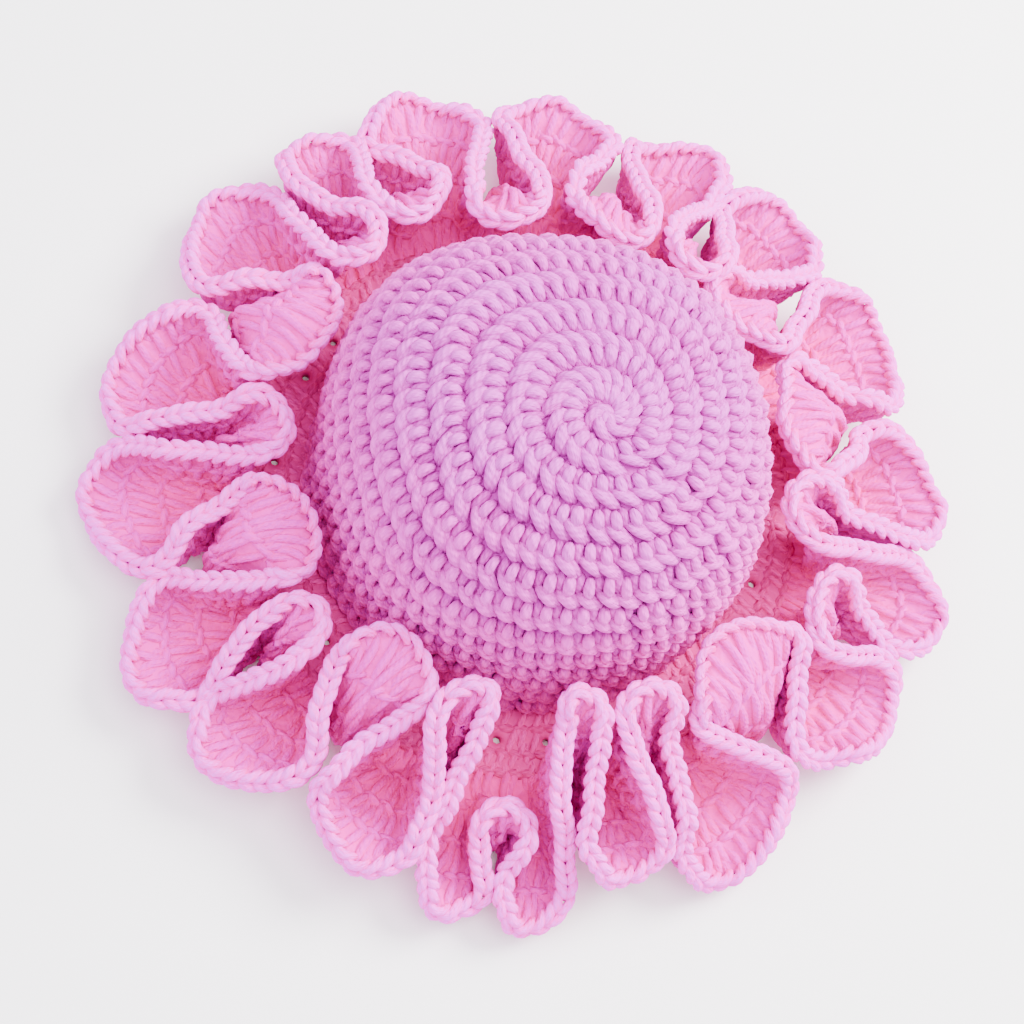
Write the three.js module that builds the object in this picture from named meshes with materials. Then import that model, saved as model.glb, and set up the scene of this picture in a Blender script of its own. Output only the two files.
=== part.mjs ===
// A crocheted ruffle hat, lying on a table with its crown up. A domed crown worked in rounds stands
// in a flat brim with a round of eyelets. A deep ruffle grows out of the brim's outer edge and stands
// in folds round the crown, and a corded edging closes its free edge.
// Millimetres, +Z up. The origin is on the table, under the middle of the hat's bounding box.

import * as THREE from 'three';
import { mergeVertices } from 'three/addons/utils/BufferGeometryUtils.js';

// Driving dimensions
const HEAD_RADIUS = 87; // inside of the crown where the head goes in
const CROWN_WALL = 5; // the crown's stitches, one layer thick
const CROWN_HEIGHT = 126; // table to the middle of the crown's top
const BRIM_WIDTH = 25;
const BRIM_WALL = 5;
const EYELET_RADIUS = 2.5;
const EYELET_COUNT = 32;
const EYELET_PLACE = 0.5; // share of the brim's width, from the crown
const RUFFLE_WIDTH = 62; // brim's edge to the farthest fold, seen from above
const RUFFLE_HEIGHT = 66; // table to the middle of the highest fold's edge
const RUFFLE_WALL = 4;
const RIM_WALL = 3; // the ruffle thins to this where the edging is worked onto it
const EDGING_RADIUS = 3.3;
const SEAM_GAP = 0.3; // clearance where one piece is worked onto the next

// How finely the faceted solids follow the soft shapes
const CROWN_COLUMNS = 40;
const CROWN_ROWS = 10;
const BRIM_COLUMNS = 60;
const EYELET_SIDES = 5;
const COLUMNS_PER_FOLD = 15;
const RUFFLE_ROWS = 4;
const EDGING_SIDES = 5;
const CROWDING = 0.5; // how far the ruffle's columns crowd at its bends, from 0, evenly spaced, to 1
const STEPS_PER_POINT = 20; // for measuring the length of the ruffle's edge

const CROWN_RADIUS = HEAD_RADIUS + CROWN_WALL;
const BRIM_INNER = CROWN_RADIUS + SEAM_GAP;
const BRIM_OUTER = BRIM_INNER + BRIM_WIDTH;
const ROOT_RADIUS = BRIM_OUTER + SEAM_GAP;

// The crown's outline above the brim: radius as a share of the crown's radius, height as a share of
// the rise from the brim to the top.
const CROWN_OUTLINE = [
  { radius: 1.0, height: 0.0 },
  { radius: 0.995, height: 0.15 },
  { radius: 1.0, height: 0.35 },
  { radius: 0.975, height: 0.53 },
  { radius: 0.91, height: 0.7 },
  { radius: 0.78, height: 0.85 },
  { radius: 0.56, height: 0.95 },
  { radius: 0.28, height: 0.992 },
  { radius: 0.0, height: 1.0 },
];

// The crown isn't quite round: waves round it, as a share of its radius, and the angle of one crest.
const CROWN_WAVES = [
  { count: 2, share: 0.012, angle: 150 },
  { count: 3, share: 0.012, angle: 45 },
  { count: 4, share: 0.022, angle: 168 },
];

// Soft dents in the crown's top: where, as an angle and a share of the crown's radius, how deep as a
// share of the crown's height, and how wide as a share of the crown's radius.
const CROWN_DENTS = [
  { angle: 138, place: 0.62, depth: 0.036, width: 0.4 },
  { angle: 255, place: 0.72, depth: 0.035, width: 0.34 },
  { angle: 0, place: 0.7, depth: 0.03, width: 0.3 },
];

// The waves fade out towards the brim, and the dents down the crown's side. Shares of its height.
const WAVES_FULL = 0.45;
const DENTS_START = 0.35;
const DENTS_FULL = 0.85;

// The ruffle's folds, anticlockwise from +X. A fold has a crest, which stands up near the crown, and
// then a valley, which lies out near the table. angle is where the fold's edge turns back, in degrees.
// reach is a share of the ruffle's width, out from its root, and height a share of the ruffle's height.
// over is how far a crest has flopped over towards the crown, from 0, standing, to 1, lying down.
const FOLDS = [
  {
    crest: { angle: 5, reach: 0.14, height: 0.66, over: 0.2 },
    valley: { angle: 12.5, reach: 0.99, height: 0.24 },
  },
  {
    crest: { angle: 21, reach: -0.17, height: 0.84, over: 0.3 },
    valley: { angle: 29, reach: 0.94, height: 0.3 },
  },
  {
    crest: { angle: 42, reach: -0.2, height: 0.86, over: 0.8 },
    valley: { angle: 55.5, reach: 0.99, height: 0.26 },
  },
  {
    crest: { angle: 67, reach: -0.22, height: 0.94, over: 0.6 },
    valley: { angle: 77, reach: 0.95, height: 0.34 },
  },
  {
    crest: { angle: 86, reach: -0.18, height: 1, over: 0.3 },
    valley: { angle: 93, reach: 1, height: 0.26 },
  },
  {
    crest: { angle: 104, reach: -0.21, height: 0.96, over: 0.6 },
    valley: { angle: 115, reach: 0.94, height: 0.38 },
  },
  {
    crest: { angle: 125, reach: -0.18, height: 0.94, over: 0.4 },
    valley: { angle: 135, reach: 0.98, height: 0.36 },
  },
  {
    crest: { angle: 145.5, reach: 0.04, height: 0.8, over: 0.3 },
    valley: { angle: 152, reach: 0.92, height: 0.42 },
  },
  {
    crest: { angle: 160, reach: -0.12, height: 0.92, over: 0.2 },
    valley: { angle: 167.5, reach: 0.97, height: 0.28 },
  },
  {
    crest: { angle: 182, reach: -0.2, height: 0.9, over: 0.9 },
    valley: { angle: 196.5, reach: 0.94, height: 0.26 },
  },
  {
    crest: { angle: 205, reach: -0.18, height: 0.76, over: 0.3 },
    valley: { angle: 213, reach: 1, height: 0.18 },
  },
  {
    crest: { angle: 226.5, reach: -0.23, height: 0.82, over: 0.9 },
    valley: { angle: 238.5, reach: 0.98, height: 0.24 },
  },
  {
    crest: { angle: 245.5, reach: 0, height: 0.8, over: 0.2 },
    valley: { angle: 252, reach: 0.93, height: 0.3 },
  },
  {
    crest: { angle: 264, reach: -0.21, height: 0.94, over: 0.6 },
    valley: { angle: 275, reach: 0.9, height: 0.36 },
  },
  {
    crest: { angle: 282, reach: -0.21, height: 0.98, over: 0.2 },
    valley: { angle: 287.5, reach: 0.96, height: 0.18 },
  },
  {
    crest: { angle: 293, reach: 0.4, height: 0.5, over: 0 },
    valley: { angle: 298, reach: 1, height: 0.16 },
  },
  {
    crest: { angle: 303.5, reach: -0.22, height: 0.98, over: 0.1 },
    valley: { angle: 311, reach: 0.8, height: 0.42 },
  },
  {
    crest: { angle: 318.5, reach: -0.21, height: 0.96, over: 0.2 },
    valley: { angle: 326, reach: 0.99, height: 0.2 },
  },
  {
    crest: { angle: 341, reach: -0.2, height: 0.92, over: 0.8 },
    valley: { angle: 356.5, reach: 0.96, height: 0.26 },
  },
];
const LOOP_GAP = 3.5; // clearance where the edge passes close by itself, at each loop's neck
// How long a loop's rounded end is from its tip to where it is widest, as a share of half its width.
const ROUNDING = { crest: 0.8, valley: 0.5 };
const LONGEST_END = 0.4; // an end takes up at most this share of the way to the next tip
const POINTS_PER_TIP = 3; // points of the edge's curve at each crest and each valley

// How hard the sheet is pulled at its root and at its edge, as shares of the ruffle's width. It leaves
// the brim level, and comes to its edge out and up: in a crest that stands or has flopped over, in a
// valley, and in the side that runs between them.
const PULL = {
  standing: { root: 1.3, out: -0.9, up: 1.3 },
  flopped: { root: 1.8, out: -1.9, up: -0.6 },
  valley: { root: 0.9, out: 0.8, up: 0.15 },
  side: { root: 0.8, out: 0.0, up: 0.95 },
};

const SQUARE = 0.85; // share of the sheet's skew at its edge that its stitches straighten out

const radians = THREE.MathUtils.degToRad;
const { lerp, smoothstep } = THREE.MathUtils;

function radial(angle) {
  return new THREE.Vector3(Math.cos(angle), Math.sin(angle), 0);
}

const columnCount = FOLDS.length * COLUMNS_PER_FOLD;

// Pushes a point of the round crown into the real one's shape: waves round it, and dents in its top.
function shapeCrown(point) {
  const angle = Math.atan2(point.y, point.x);
  const above = smoothstep(point.z, BRIM_WALL, CROWN_HEIGHT * WAVES_FULL);
  let grow = 1;
  for (const { count, share, angle: crest } of CROWN_WAVES) {
    grow += share * above * Math.cos(count * (angle - radians(crest)));
  }
  let drop = 0;
  for (const dent of CROWN_DENTS) {
    const centre = radial(radians(dent.angle)).multiplyScalar(dent.place * CROWN_RADIUS);
    const away = Math.hypot(point.x - centre.x, point.y - centre.y) / (dent.width * CROWN_RADIUS);
    drop += dent.depth * CROWN_HEIGHT * Math.exp(-away * away);
  }
  const high = smoothstep(point.z, CROWN_HEIGHT * DENTS_START, CROWN_HEIGHT * DENTS_FULL);
  point.x *= grow;
  point.y *= grow;
  point.z -= drop * high;
  return point;
}

function crownGeometry() {
  const rise = CROWN_HEIGHT - BRIM_WALL;
  const rows = CROWN_OUTLINE.map(
    ({ radius, height }) => new THREE.Vector2(radius * CROWN_RADIUS, BRIM_WALL + height * rise),
  );
  const outline = new THREE.SplineCurve(rows);
  const outer = outline.getSpacedPoints(CROWN_ROWS - 1);
  const inner = outer.map((point, i) => {
    const along = outline.getTangentAt(i / (CROWN_ROWS - 1));
    return new THREE.Vector2(point.x - along.y * CROWN_WALL, point.y + along.x * CROWN_WALL);
  });
  outer.at(-1).x = 0;
  inner.at(-1).set(0, CROWN_HEIGHT - CROWN_WALL);
  const footInside = new THREE.Vector2(HEAD_RADIUS, 0);
  const footOutside = new THREE.Vector2(CROWN_RADIUS, 0);
  // LatheGeometry turns about Y with its faces out when the profile climbs, so the crown is turned up
  // to Z afterwards.
  const profile = [...inner.reverse(), footInside, footOutside, ...outer];
  const crown = new THREE.LatheGeometry(profile, CROWN_COLUMNS).rotateX(Math.PI / 2);
  const positions = crown.getAttribute('position');
  const point = new THREE.Vector3();
  for (let i = 0; i < positions.count; i++) {
    shapeCrown(point.fromBufferAttribute(positions, i));
    positions.setXYZ(i, point.x, point.y, point.z);
  }
  return closed(crown);
}

function brimGeometry() {
  const ring = new THREE.Shape().absarc(0, 0, BRIM_OUTER, 0, 2 * Math.PI);
  ring.holes.push(new THREE.Path().absarc(0, 0, BRIM_INNER, 0, 2 * Math.PI));
  const shape = ring.extractPoints(BRIM_COLUMNS / 2); // an arc gets twice as many sides
  const faces = new THREE.Shape(shape.shape);
  faces.holes = shape.holes.map((hole) => new THREE.Path(hole));
  const eyeletRing = BRIM_INNER + EYELET_PLACE * BRIM_WIDTH;
  for (let i = 0; i < EYELET_COUNT; i++) {
    const angle = (2 * Math.PI * i) / EYELET_COUNT;
    const corners = [];
    for (let k = 0; k < EYELET_SIDES; k++) {
      const turn = angle + (2 * Math.PI * k) / EYELET_SIDES;
      corners.push(
        new THREE.Vector2(
          eyeletRing * Math.cos(angle) + EYELET_RADIUS * Math.cos(turn),
          eyeletRing * Math.sin(angle) + EYELET_RADIUS * Math.sin(turn),
        ),
      );
    }
    faces.holes.push(new THREE.Path(corners));
  }
  return new THREE.ExtrudeGeometry(faces, { depth: BRIM_WALL, bevelEnabled: false });
}

// Crests and valleys counted round the hat: tip 0 is the first crest, 1 its valley and -1 the last
// valley, with an angle that runs on past a full turn.
function foldTip(n) {
  const turns = Math.floor(n / (2 * FOLDS.length));
  const fold = FOLDS[Math.floor(n / 2) - turns * FOLDS.length];
  const kind = n % 2 === 0 ? 'crest' : 'valley';
  const { angle, reach, height } = fold[kind];
  return { kind, angle: angle + 360 * turns, reach, height };
}

function edgePoint(angle, reach, height) {
  const point = radial(radians(angle)).multiplyScalar(ROOT_RADIUS + reach * RUFFLE_WIDTH);
  point.z = height * RUFFLE_HEIGHT;
  return point;
}

// Where tip n's loop is widest on tip m's side. It fills the room up to the loop next to it but one.
function shoulderPoint(n, m) {
  const here = foldTip(n);
  const next = foldTip(m);
  const halfGap = EDGING_RADIUS + LOOP_GAP / 2;
  const tipRadius = ROOT_RADIUS + here.reach * RUFFLE_WIDTH;
  const halfWidth = radians(Math.abs(next.angle - here.angle)) * tipRadius - halfGap;
  const toNext = Math.abs(next.reach - here.reach) * RUFFLE_WIDTH;
  const back = Math.min((ROUNDING[here.kind] * halfWidth) / toNext, LONGEST_END);
  const reach = lerp(here.reach, next.reach, back);
  const height = lerp(here.height, next.height, back);
  const clear = THREE.MathUtils.radToDeg(halfGap / (ROOT_RADIUS + reach * RUFFLE_WIDTH));
  return edgePoint(next.angle + (n - m) * clear, reach, height);
}

const edgePoints = Array.from({ length: 2 * FOLDS.length }, (_, n) => {
  const { angle, reach, height } = foldTip(n);
  return [shoulderPoint(n, n - 1), edgePoint(angle, reach, height), shoulderPoint(n, n + 1)];
}).flat();
const EDGE = new THREE.CatmullRomCurve3(edgePoints, true, 'centripetal');
EDGE.arcLengthDivisions = edgePoints.length * STEPS_PER_POINT;

// Where the column at share t of the edge's curve grows out of the brim. The brim is shared out
// between the loops, so each column's root lies inside its own loop.
function rootAngle(t) {
  const place = t * FOLDS.length * 2 - 1 / POINTS_PER_TIP; // counts tips, whole at each one
  const tip = Math.floor(place);
  return radians(lerp(foldTip(tip).angle, foldTip(tip + 1).angle, place - tip));
}

// The pull at share t of the edge's curve, blended between its fold's crest, side and valley.
function foldPull(t) {
  const place = t * FOLDS.length - 0.5 / POINTS_PER_TIP; // counts folds, whole at each crest
  const { over } = FOLDS.at(Math.round(place) % FOLDS.length).crest;
  const swing = Math.cos(2 * Math.PI * place); // 1 at a crest, -1 at a valley
  const blend = (name) => {
    const tip = swing > 0 ? lerp(PULL.standing[name], PULL.flopped[name], over) : PULL.valley[name];
    return RUFFLE_WIDTH * lerp(PULL.side[name], tip, swing * swing);
  };
  return { root: blend('root'), out: blend('out'), up: blend('up') };
}

// The middle of the ruffle's sheet: t goes round the edge, v from the root at 0 to the edge at 1.
function sheetPoint(t, v) {
  const edge = EDGE.getPoint((t + 1) % 1);
  const angle = rootAngle(t);
  const pull = foldPull(t);
  const root = radial(angle).multiplyScalar(ROOT_RADIUS).setZ(BRIM_WALL / 2);
  const leave = radial(angle).multiplyScalar(pull.root);
  const arrive = radial(Math.atan2(edge.y, edge.x)).multiplyScalar(pull.out).setZ(pull.up);
  const along = EDGE.getTangent((t + 1) % 1);
  arrive.addScaledVector(along, -SQUARE * arrive.dot(along));
  const v2 = v * v;
  const v3 = v2 * v;
  return root
    .multiplyScalar(2 * v3 - 3 * v2 + 1)
    .addScaledVector(leave, v3 - 2 * v2 + v)
    .addScaledVector(edge, 3 * v2 - 2 * v3)
    .addScaledVector(arrive, v3 - v2);
}

// Unit vectors of the sheet at a point, taken over one facet each way so that they fit the facets:
// across its wall, and towards its free edge, square to it. The root's wall is level with the brim.
function sheetFrame(t, v) {
  const dt = 0.5 / columnCount;
  const dv = v > 0 ? 1 / RUFFLE_ROWS : 1e-3;
  const round = sheetPoint(t + dt, v).sub(sheetPoint(t - dt, v)).normalize();
  const up = sheetPoint(t, Math.min(v + dv, 1)).sub(sheetPoint(t, Math.max(v - dv, 0)));
  const out = up.addScaledVector(round, -up.dot(round)).normalize();
  return { across: out.clone().cross(round), out };
}

// A closed ring: `columns` sections of `points` points each, joined all the way round. Each four-sided
// face is split from corner to corner, one way or the other.
function ringGeometry(columns, points, splitBack, place) {
  const positions = [];
  const index = [];
  for (let i = 0; i < columns; i++) {
    for (let k = 0; k < points; k++) {
      positions.push(...place(i, k).toArray());
      const here = i * points;
      const next = ((i + 1) % columns) * points;
      const above = (k + 1) % points;
      const [a, b, c, d] = [here + above, here + k, next + k, next + above];
      index.push(...(splitBack ? [a, b, c, a, c, d] : [a, b, d, b, c, d]));
    }
  }
  const ring = new THREE.BufferGeometry();
  ring.setAttribute('position', new THREE.Float32BufferAttribute(positions, 3));
  ring.setIndex(index);
  ring.computeVertexNormals();
  return ring;
}

function closed(geometry) {
  geometry.deleteAttribute('normal');
  geometry.deleteAttribute('uv');
  const merged = mergeVertices(geometry, 1e-4);
  merged.computeVertexNormals();
  return merged;
}

// Columns stand at steps between equal lengths of the edge and equal shares of its points, so that
// they crowd together where it bends.
const columnPlaces = Array.from({ length: columnCount }, (_, i) => {
  const share = i / columnCount;
  return lerp(EDGE.getUtoTmapping(share), share, CROWDING);
});

function ruffleGeometry() {
  return ringGeometry(columnCount, 2 * (RUFFLE_ROWS + 1), false, (i, k) => {
    const above = k > RUFFLE_ROWS;
    const row = above ? 2 * RUFFLE_ROWS + 1 - k : k;
    const t = columnPlaces[i];
    const v = row / RUFFLE_ROWS;
    const wall = row < RUFFLE_ROWS ? RUFFLE_WALL : RIM_WALL;
    const { across } = sheetFrame(t, v);
    return sheetPoint(t, v).addScaledVector(across, (above ? 0.5 : -0.5) * wall);
  });
}

function edgingGeometry() {
  // Split the other way from the ruffle's rim, so that the two facing walls twist alike.
  return ringGeometry(columnCount, EDGING_SIDES, true, (i, k) => {
    const { across, out } = sheetFrame(columnPlaces[i], 1);
    const turn = (2 * Math.PI * (k + 0.5)) / EDGING_SIDES - Math.PI / 2;
    return sheetPoint(columnPlaces[i], 1)
      .addScaledVector(out, SEAM_GAP + EDGING_RADIUS * (1 + Math.sin(turn)))
      .addScaledVector(across, -EDGING_RADIUS * Math.cos(turn));
  });
}

function yarn(color, roughness) {
  return new THREE.MeshStandardMaterial({ color, roughness, metalness: 0 });
}

function piece(name, geometry, material) {
  const mesh = new THREE.Mesh(geometry, material);
  mesh.name = name;
  return mesh;
}

const pieces = new THREE.Group();
pieces.add(
  piece('crown', crownGeometry(), yarn(0xe0a6d6, 0.85)),
  piece('brim', brimGeometry(), yarn(0xe87fb8, 0.9)),
  piece('ruffle', ruffleGeometry(), yarn(0xf19fd2, 0.85)),
  piece('ruffle_edging', edgingGeometry(), yarn(0xf6c4ea, 0.85)),
);

// The folds reach a little farther on one side, so the hat is set over the middle of its box.
const middle = new THREE.Box3().setFromObject(pieces).getCenter(new THREE.Vector3());
pieces.position.set(-middle.x, -middle.y, 0);

const hat = new THREE.Group();
hat.name = 'ruffle_hat';
hat.add(pieces);

export default hat;
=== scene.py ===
import math
from collections import namedtuple

import bmesh
import bpy
import numpy as np
from bpy.props import FloatProperty, FloatVectorProperty, IntProperty, PointerProperty
from mathutils import Matrix, Vector


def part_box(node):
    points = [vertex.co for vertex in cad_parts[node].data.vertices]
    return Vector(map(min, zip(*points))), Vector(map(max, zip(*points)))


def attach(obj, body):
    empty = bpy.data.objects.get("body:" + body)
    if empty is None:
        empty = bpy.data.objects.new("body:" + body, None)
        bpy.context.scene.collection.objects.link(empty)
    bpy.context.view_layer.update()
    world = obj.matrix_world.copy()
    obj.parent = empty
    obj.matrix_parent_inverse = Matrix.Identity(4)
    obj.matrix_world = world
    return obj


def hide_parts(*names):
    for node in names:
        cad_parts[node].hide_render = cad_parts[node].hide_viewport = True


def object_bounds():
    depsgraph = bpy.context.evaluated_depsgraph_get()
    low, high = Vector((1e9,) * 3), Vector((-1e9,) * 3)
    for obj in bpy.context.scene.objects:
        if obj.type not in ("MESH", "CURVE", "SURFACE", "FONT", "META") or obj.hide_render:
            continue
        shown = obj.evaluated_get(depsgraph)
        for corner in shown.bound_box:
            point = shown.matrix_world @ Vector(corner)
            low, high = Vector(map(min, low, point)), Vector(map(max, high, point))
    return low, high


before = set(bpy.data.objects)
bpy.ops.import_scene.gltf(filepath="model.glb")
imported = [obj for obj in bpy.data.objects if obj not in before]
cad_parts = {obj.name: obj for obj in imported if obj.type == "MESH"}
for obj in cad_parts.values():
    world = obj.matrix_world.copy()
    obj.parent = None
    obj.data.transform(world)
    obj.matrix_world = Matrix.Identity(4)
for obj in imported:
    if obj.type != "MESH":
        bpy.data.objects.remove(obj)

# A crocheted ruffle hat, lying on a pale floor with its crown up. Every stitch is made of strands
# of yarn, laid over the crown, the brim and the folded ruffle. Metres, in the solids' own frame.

bl_info = {
    "name": "Crocheted Ruffle Hat",
    "version": (1, 0, 0),
    "blender": (4, 5, 0),
    "location": "View3D > Sidebar > Ruffle Hat",
    "description": "Dresses a hat's plain solids in crocheted yarn, stitch by stitch",
    "category": "Add Mesh",
}

CAD_BOX = [list(corner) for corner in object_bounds()]
BRIM_LOW, BRIM_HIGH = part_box("brim")
AXIS = np.array([(BRIM_LOW.x + BRIM_HIGH.x) / 2, (BRIM_LOW.y + BRIM_HIGH.y) / 2, 0.0])
UP = np.array([0.0, 0.0, 1.0])

# The crown's outline above the brim: radius as a share of the crown's radius, and height as a
# share of the rise from the brim to the top.
Section = namedtuple("Section", "radius height")
CROWN_OUTLINE = [
    Section(1.0, 0.0),
    Section(0.995, 0.15),
    Section(1.0, 0.35),
    Section(0.975, 0.53),
    Section(0.91, 0.7),
    Section(0.78, 0.85),
    Section(0.56, 0.95),
    Section(0.28, 0.992),
    Section(0.0, 1.0),
]

# The crown isn't quite round: waves round it, and soft dents in its top, as in its solid.
Wave = namedtuple("Wave", "count share angle")
CROWN_WAVES = [Wave(2, 0.012, 150), Wave(3, 0.012, 45), Wave(4, 0.022, 168)]
Dent = namedtuple("Dent", "angle place depth width")
CROWN_DENTS = [
    Dent(138, 0.62, 0.036, 0.4),
    Dent(255, 0.72, 0.035, 0.34),
    Dent(0, 0.7, 0.03, 0.3),
]
# Where the waves are full, and where the dents start and are full, as shares of the height.
WAVES_FULL = 0.45
DENTS_START = 0.35
DENTS_FULL = 0.85

# The ruffle's folds, anticlockwise from +X, as in its solid: where each crest and each valley
# turns back in degrees, its reach as a share of the ruffle's width, its height as a share of the
# ruffle's height, and how far the crest has flopped over.
Fold = namedtuple("Fold", "crest reach height over valley far low")
FOLDS = [
    Fold(5, 0.14, 0.66, 0.2, 12.5, 0.99, 0.24),
    Fold(21, -0.17, 0.84, 0.3, 29, 0.94, 0.3),
    Fold(42, -0.2, 0.86, 0.8, 55.5, 0.99, 0.26),
    Fold(67, -0.22, 0.94, 0.6, 77, 0.95, 0.34),
    Fold(86, -0.18, 1, 0.3, 93, 1, 0.26),
    Fold(104, -0.21, 0.96, 0.6, 115, 0.94, 0.38),
    Fold(125, -0.18, 0.94, 0.4, 135, 0.98, 0.36),
    Fold(145.5, 0.04, 0.8, 0.3, 152, 0.92, 0.42),
    Fold(160, -0.12, 0.92, 0.2, 167.5, 0.97, 0.28),
    Fold(182, -0.2, 0.9, 0.9, 196.5, 0.94, 0.26),
    Fold(205, -0.18, 0.76, 0.3, 213, 1, 0.18),
    Fold(226.5, -0.23, 0.82, 0.9, 238.5, 0.98, 0.24),
    Fold(245.5, 0, 0.8, 0.2, 252, 0.93, 0.3),
    Fold(264, -0.21, 0.94, 0.6, 275, 0.9, 0.36),
    Fold(282, -0.21, 0.98, 0.2, 287.5, 0.96, 0.18),
    Fold(293, 0.4, 0.5, 0, 298, 1, 0.16),
    Fold(303.5, -0.22, 0.98, 0.1, 311, 0.8, 0.42),
    Fold(318.5, -0.21, 0.96, 0.2, 326, 0.99, 0.2),
    Fold(341, -0.2, 0.92, 0.8, 356.5, 0.96, 0.26),
]
POINTS_PER_TIP = 3
# How long the rounded end of a loop of the free edge is, as a share of its half width, and the
# most of the way to the next tip that it may take.
CREST_ROUNDING = 0.8
VALLEY_ROUNDING = 0.5
LONGEST_END = 0.4
# How strongly the sheet leaves its root outwards, and reaches its free edge outwards and upwards,
# in ruffle widths. Square is how much of the last is turned square to the edge.
Pull = namedtuple("Pull", "root out up")
STANDING = Pull(1.3, -0.9, 1.3)
FLOPPED = Pull(1.8, -1.9, -0.6)
VALLEY = Pull(0.9, 0.8, 0.15)
SIDE = Pull(0.8, 0.0, 0.95)
SQUARE = 0.85
# Small ripples along the free edge, which the yarn's own tension makes: waves in the whole round,
# sideways and upward swings in metres, and where each starts as a share of its wave.
Ripple = namedtuple("Ripple", "waves aside upward start")
RIPPLES = [
    Ripple(41, 0.0010, 0.0016, 0.15),
    Ripple(67, 0.0010, 0.0014, 0.62),
    Ripple(103, 0.0008, 0.0009, 0.37),
    Ripple(163, 0.0005, 0.0006, 0.81),
]

# Where a strand of yarn runs in its stitch: along the row, up the row, out of the fabric in yarn
# radii, and the strand's own thickness in yarn radii.
Knot = namedtuple("Knot", "along up out thick")
CROWN_BEAD = [
    Knot(0.44, 0.02, -0.7, 0.75),
    Knot(0.38, 0.12, 0.4, 1.15),
    Knot(0.37, 0.25, 1.05, 1.35),
    Knot(0.41, 0.38, 1.05, 1.35),
    Knot(0.49, 0.50, 0.4, 1.1),
    Knot(0.58, 0.60, -0.6, 0.7),
]
CROWN_LEG = [
    Knot(-0.14, 0.42, -0.5, 0.7),
    Knot(0.08, 0.52, 0.45, 1.1),
    Knot(0.36, 0.64, 0.95, 1.3),
    Knot(0.66, 0.76, 0.9, 1.3),
    Knot(0.94, 0.88, 0.25, 1.1),
    Knot(1.12, 0.98, -0.8, 0.7),
]
CROWN_UNDER = [
    Knot(0.40, 0.40, -0.6, 0.8),
    Knot(0.58, 0.52, 0.0, 1.05),
    Knot(0.82, 0.66, 0.25, 1.15),
    Knot(1.06, 0.80, 0.05, 1.1),
    Knot(1.28, 0.93, -0.6, 0.8),
]
CROWN_FILL = [
    Knot(0.86, -0.10, -1.0, 1.0),
    Knot(0.88, 0.05, -0.35, 1.15),
    Knot(0.90, 0.22, -0.1, 1.2),
    Knot(0.96, 0.38, -0.3, 1.15),
    Knot(1.04, 0.52, -1.0, 1.0),
]
CHAIN_LUMP = [
    Knot(-0.12, 0.90, -0.3, 0.7),
    Knot(0.14, 0.95, 0.35, 1.1),
    Knot(0.46, 1.01, 0.65, 1.25),
    Knot(0.80, 1.06, 0.35, 1.1),
    Knot(1.06, 1.08, -0.3, 0.7),
]
# The edging's strands: along the edge, outwards, to one side, and thickness, the last three in
# yarn radii.
EDGE_LEG = [
    Knot(-0.40, -1.0, 0.20, 0.75),
    Knot(-0.12, 0.0, 0.40, 0.95),
    Knot(0.20, 0.5, 0.85, 1.08),
    Knot(0.56, 0.3, 1.35, 1.12),
    Knot(0.90, -0.5, 1.60, 1.0),
    Knot(1.20, -1.6, 1.40, 0.75),
]

# A post's strands: where they start below its foot as a share of it, their turns round each other,
# how far each swings aside and over in yarn radii, how much thinner their ends are, and their
# painted shade, deepest where a strand lies between the others and less as it swings under or
# over the post.
STRANDS_PER_POST = 2
POST_START = -0.04
POST_TURNS = 0.45
POST_ASIDE = 0.9
POST_OVER = 0.85
POST_THINNING = 0.3
POST_SHADE = 0.2
POST_SHADE_FALL = 0.3

# The yarn: its plies, and how fine its fibres lie along it and round it in each lay of the plies.
PLIES = 4
FIBRES = (3.5, 17.0, 1.0)
# How much each deepens the yarn's colour: the stitches' painted shade, the painted shade in the
# grooves between the plies, and the fibre, fuzz and blotch patterns, which vary at random.
SHADE_DEPTH = 0.9
PLY_GROOVE_SHADE = 0.2
FIBRE_DEPTH = 0.9
FUZZ_DEPTH = 0.35
BLOTCH_DEPTH = 0.3
# The low colour is full up to 46 mm above the floor, and gone at 123 mm.
LOW_START = 1.6
LOW_FADE = 13.0
LOW_BLOTCH = 0.5
# Some strands are a little warmer than others.
WARM_TINT = (1.0, 0.86, 0.98, 1.0)
WARM_SHARE = 0.55
FIBRE_RELIEF = 1.2


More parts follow.
